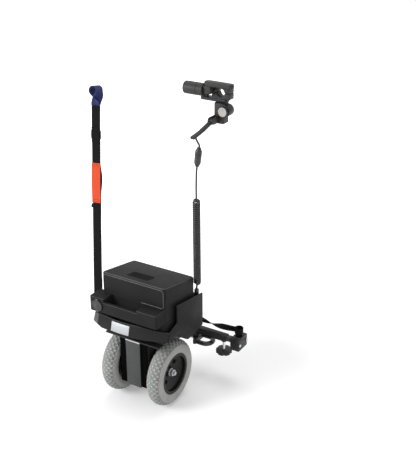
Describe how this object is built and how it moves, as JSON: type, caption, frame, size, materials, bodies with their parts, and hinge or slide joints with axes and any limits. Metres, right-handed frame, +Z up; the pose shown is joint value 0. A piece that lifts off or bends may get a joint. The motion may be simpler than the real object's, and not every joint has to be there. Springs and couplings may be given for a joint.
{
  "type": "wheelchair power assist",
  "caption": "Battery drive unit with two wheels, hung on a clamp-on crossbar behind a wheelchair, with a hand control on a curly lead and a lifting strap.",
  "frame": {"origin": "middle of the left frame clamp's bore, on the chair's left rear frame tube", "axes": "+X along the crossbar to the chair's right, +Y forwards, +Z up along the frame tube"},
  "size_m": [0.4946, 0.319, 0.9906],
  "materials": {
    "black_steel": "satin black powder coat",
    "grey_steel": "satin grey powder coat",
    "bright_steel": "zinc plated",
    "motor_steel": "semi-gloss black",
    "cast_case": "cast, painted dark grey",
    "tray_plastic": "fine moulded grain",
    "battery_plastic": "fine moulded grain",
    "cell_plastic": "smooth",
    "control_plastic": "semi-matte",
    "dial_plastic": "smooth satin",
    "cord_rubber": "smooth satin",
    "black_webbing": "woven polyester",
    "red_webbing": "woven polyester",
    "blue_webbing": "woven polyester",
    "buckle_plastic": "gloss",
    "plate_silver": "brushed, blank",
    "contact_brass": "plated",
    "rim_black": "gloss black",
    "tyre_grey": "non-marking grey rubber"
  },
  "bodies": {
    "frame_bar": {"bar_tube": "black_steel", "left_clamp_body": "black_steel", "left_clamp_cap": "black_steel", "clamp_screws": "bright_steel", "hitch_bracket": "black_steel", "tether_strap": "black_webbing", "handle_clamp_body": "control_plastic", "handle_clamp_cap": "control_plastic", "control_bracket": "control_plastic", "control_barrel": "control_plastic", "throttle_housing": "control_plastic", "cable_gland": "cord_rubber", "control_lead": "cord_rubber", "lead_plug": "cord_rubber", "lead_socket": "cord_rubber", "coil_cord": "cord_rubber", "strap_loop": "blue_webbing", "strap_webbing": "black_webbing", "strap_red_loop": "red_webbing", "strap_slider": "buckle_plastic"},
    "right_arm": {"inner_tube": "grey_steel", "right_clamp_body": "black_steel", "right_clamp_cap": "black_steel", "right_clamp_screws": "bright_steel"},
    "bar_knob": {"lock_knob": "control_plastic"},
    "pull_pin": {"hitch_pin": "bright_steel", "pull_loop": "cord_rubber", "pin_spring": "bright_steel"},
    "drive_unit": {"chassis": "black_steel", "rear_guard": "grey_steel", "drawbar": "black_steel", "gear_case": "cast_case", "gear_cover": "cast_case", "motor_can": "motor_steel", "motor_cap": "motor_steel", "battery_tray": "tray_plastic", "name_plate": "plate_silver", "controller": "tray_plastic", "cord_socket": "cord_rubber", "tray_contacts": "contact_brass", "strap_anchor": "black_steel", "axle_bearings": "bright_steel", "unit_screws": "bright_steel"},
    "wheel_set": {"axle": "bright_steel", "left_rim": "rim_black", "right_rim": "rim_black", "left_tyre": "tyre_grey", "right_tyre": "tyre_grey", "output_gear": "bright_steel", "wheel_nuts": "bright_steel"},
    "idler": {"idler_gear": "bright_steel"},
    "rotor": {"motor_rotor": "motor_steel"},
    "battery_pack": {"battery_base": "battery_plastic", "battery_cover": "battery_plastic", "battery_cells": "cell_plastic"},
    "charge_flap": {"charge_cap": "cord_rubber"},
    "lever": {"drive_lever": "control_plastic"},
    "paddle": {"direction_paddle": "control_plastic"},
    "dial": {"speed_dial": "dial_plastic"}
  },
  "joints": [
    {"name": "arm_slide", "type": "slide", "parent": "frame_bar", "child": "right_arm", "axis": [1, 0, 0], "range_m": [-0.02, 0.06], "deforming": ["tether_strap"]},
    {"name": "knob_turn", "type": "hinge", "parent": "frame_bar", "child": "bar_knob", "pos_m": [0.372, 0, -0.04], "axis": [0, 0, 1], "range_deg": [0, 360]},
    {"name": "pin_pull", "type": "slide", "parent": "frame_bar", "child": "pull_pin", "axis": [1, 0, 0], "range_m": [0, 0.024], "stiffness_N_per_m": 300, "springref_m": -0.03, "deforming": ["pin_spring"]},
    {"name": "hitch_hinge", "type": "hinge", "parent": "frame_bar", "child": "drive_unit", "pos_m": [0.212, 0, -0.032], "axis": [-1, 0, 0], "range_deg": [0, 12], "deforming": ["coil_cord", "strap_webbing", "strap_red_loop", "strap_slider"]},
    {"name": "wheel_spin", "type": "hinge", "parent": "drive_unit", "child": "wheel_set", "pos_m": [0.212, -0.187, -0.0475], "axis": [1, 0, 0], "continuous": true},
    {"name": "idler_spin", "type": "hinge", "parent": "drive_unit", "child": "idler", "pos_m": [0.212, -0.187, -0.00625], "axis": [1, 0, 0], "continuous": true},
    {"name": "motor_spin", "type": "hinge", "parent": "drive_unit", "child": "rotor", "pos_m": [0.212, -0.187, 0.02375], "axis": [1, 0, 0], "continuous": true},
    {"name": "battery_lift", "type": "slide", "parent": "drive_unit", "child": "battery_pack", "axis": [0, 0, 1], "range_m": [0, 0.15]},
    {"name": "charge_flip", "type": "hinge", "parent": "battery_pack", "child": "charge_flap", "pos_m": [0.109, -0.2823, 0.1903], "axis": [-1, 0, 0], "range_deg": [0, 120]},
    {"name": "lever_squeeze", "type": "hinge", "parent": "frame_bar", "child": "lever", "pos_m": [0.4239, -0.165, 0.743], "axis": [-1, 0, 0], "range_deg": [0, 15], "stiffness_Nm_per_rad": 0.5, "springref_deg": -8.59},
    {"name": "paddle_rock", "type": "hinge", "parent": "frame_bar", "child": "paddle", "pos_m": [0.405, -0.147, 0.834], "axis": [0, 0, 1], "range_deg": [-12, 12], "stiffness_Nm_per_rad": 0.4},
    {"name": "dial_turn", "type": "hinge", "parent": "frame_bar", "child": "dial", "pos_m": [0.447, -0.147, 0.766], "axis": [0, -1, 0], "range_deg": [0, 270]}
  ],
  "couplings": [
    {"joint": "idler_spin", "follows": "wheel_spin", "ratio": -4.5},
    {"joint": "motor_spin", "follows": "wheel_spin", "ratio": 18}
  ]
}
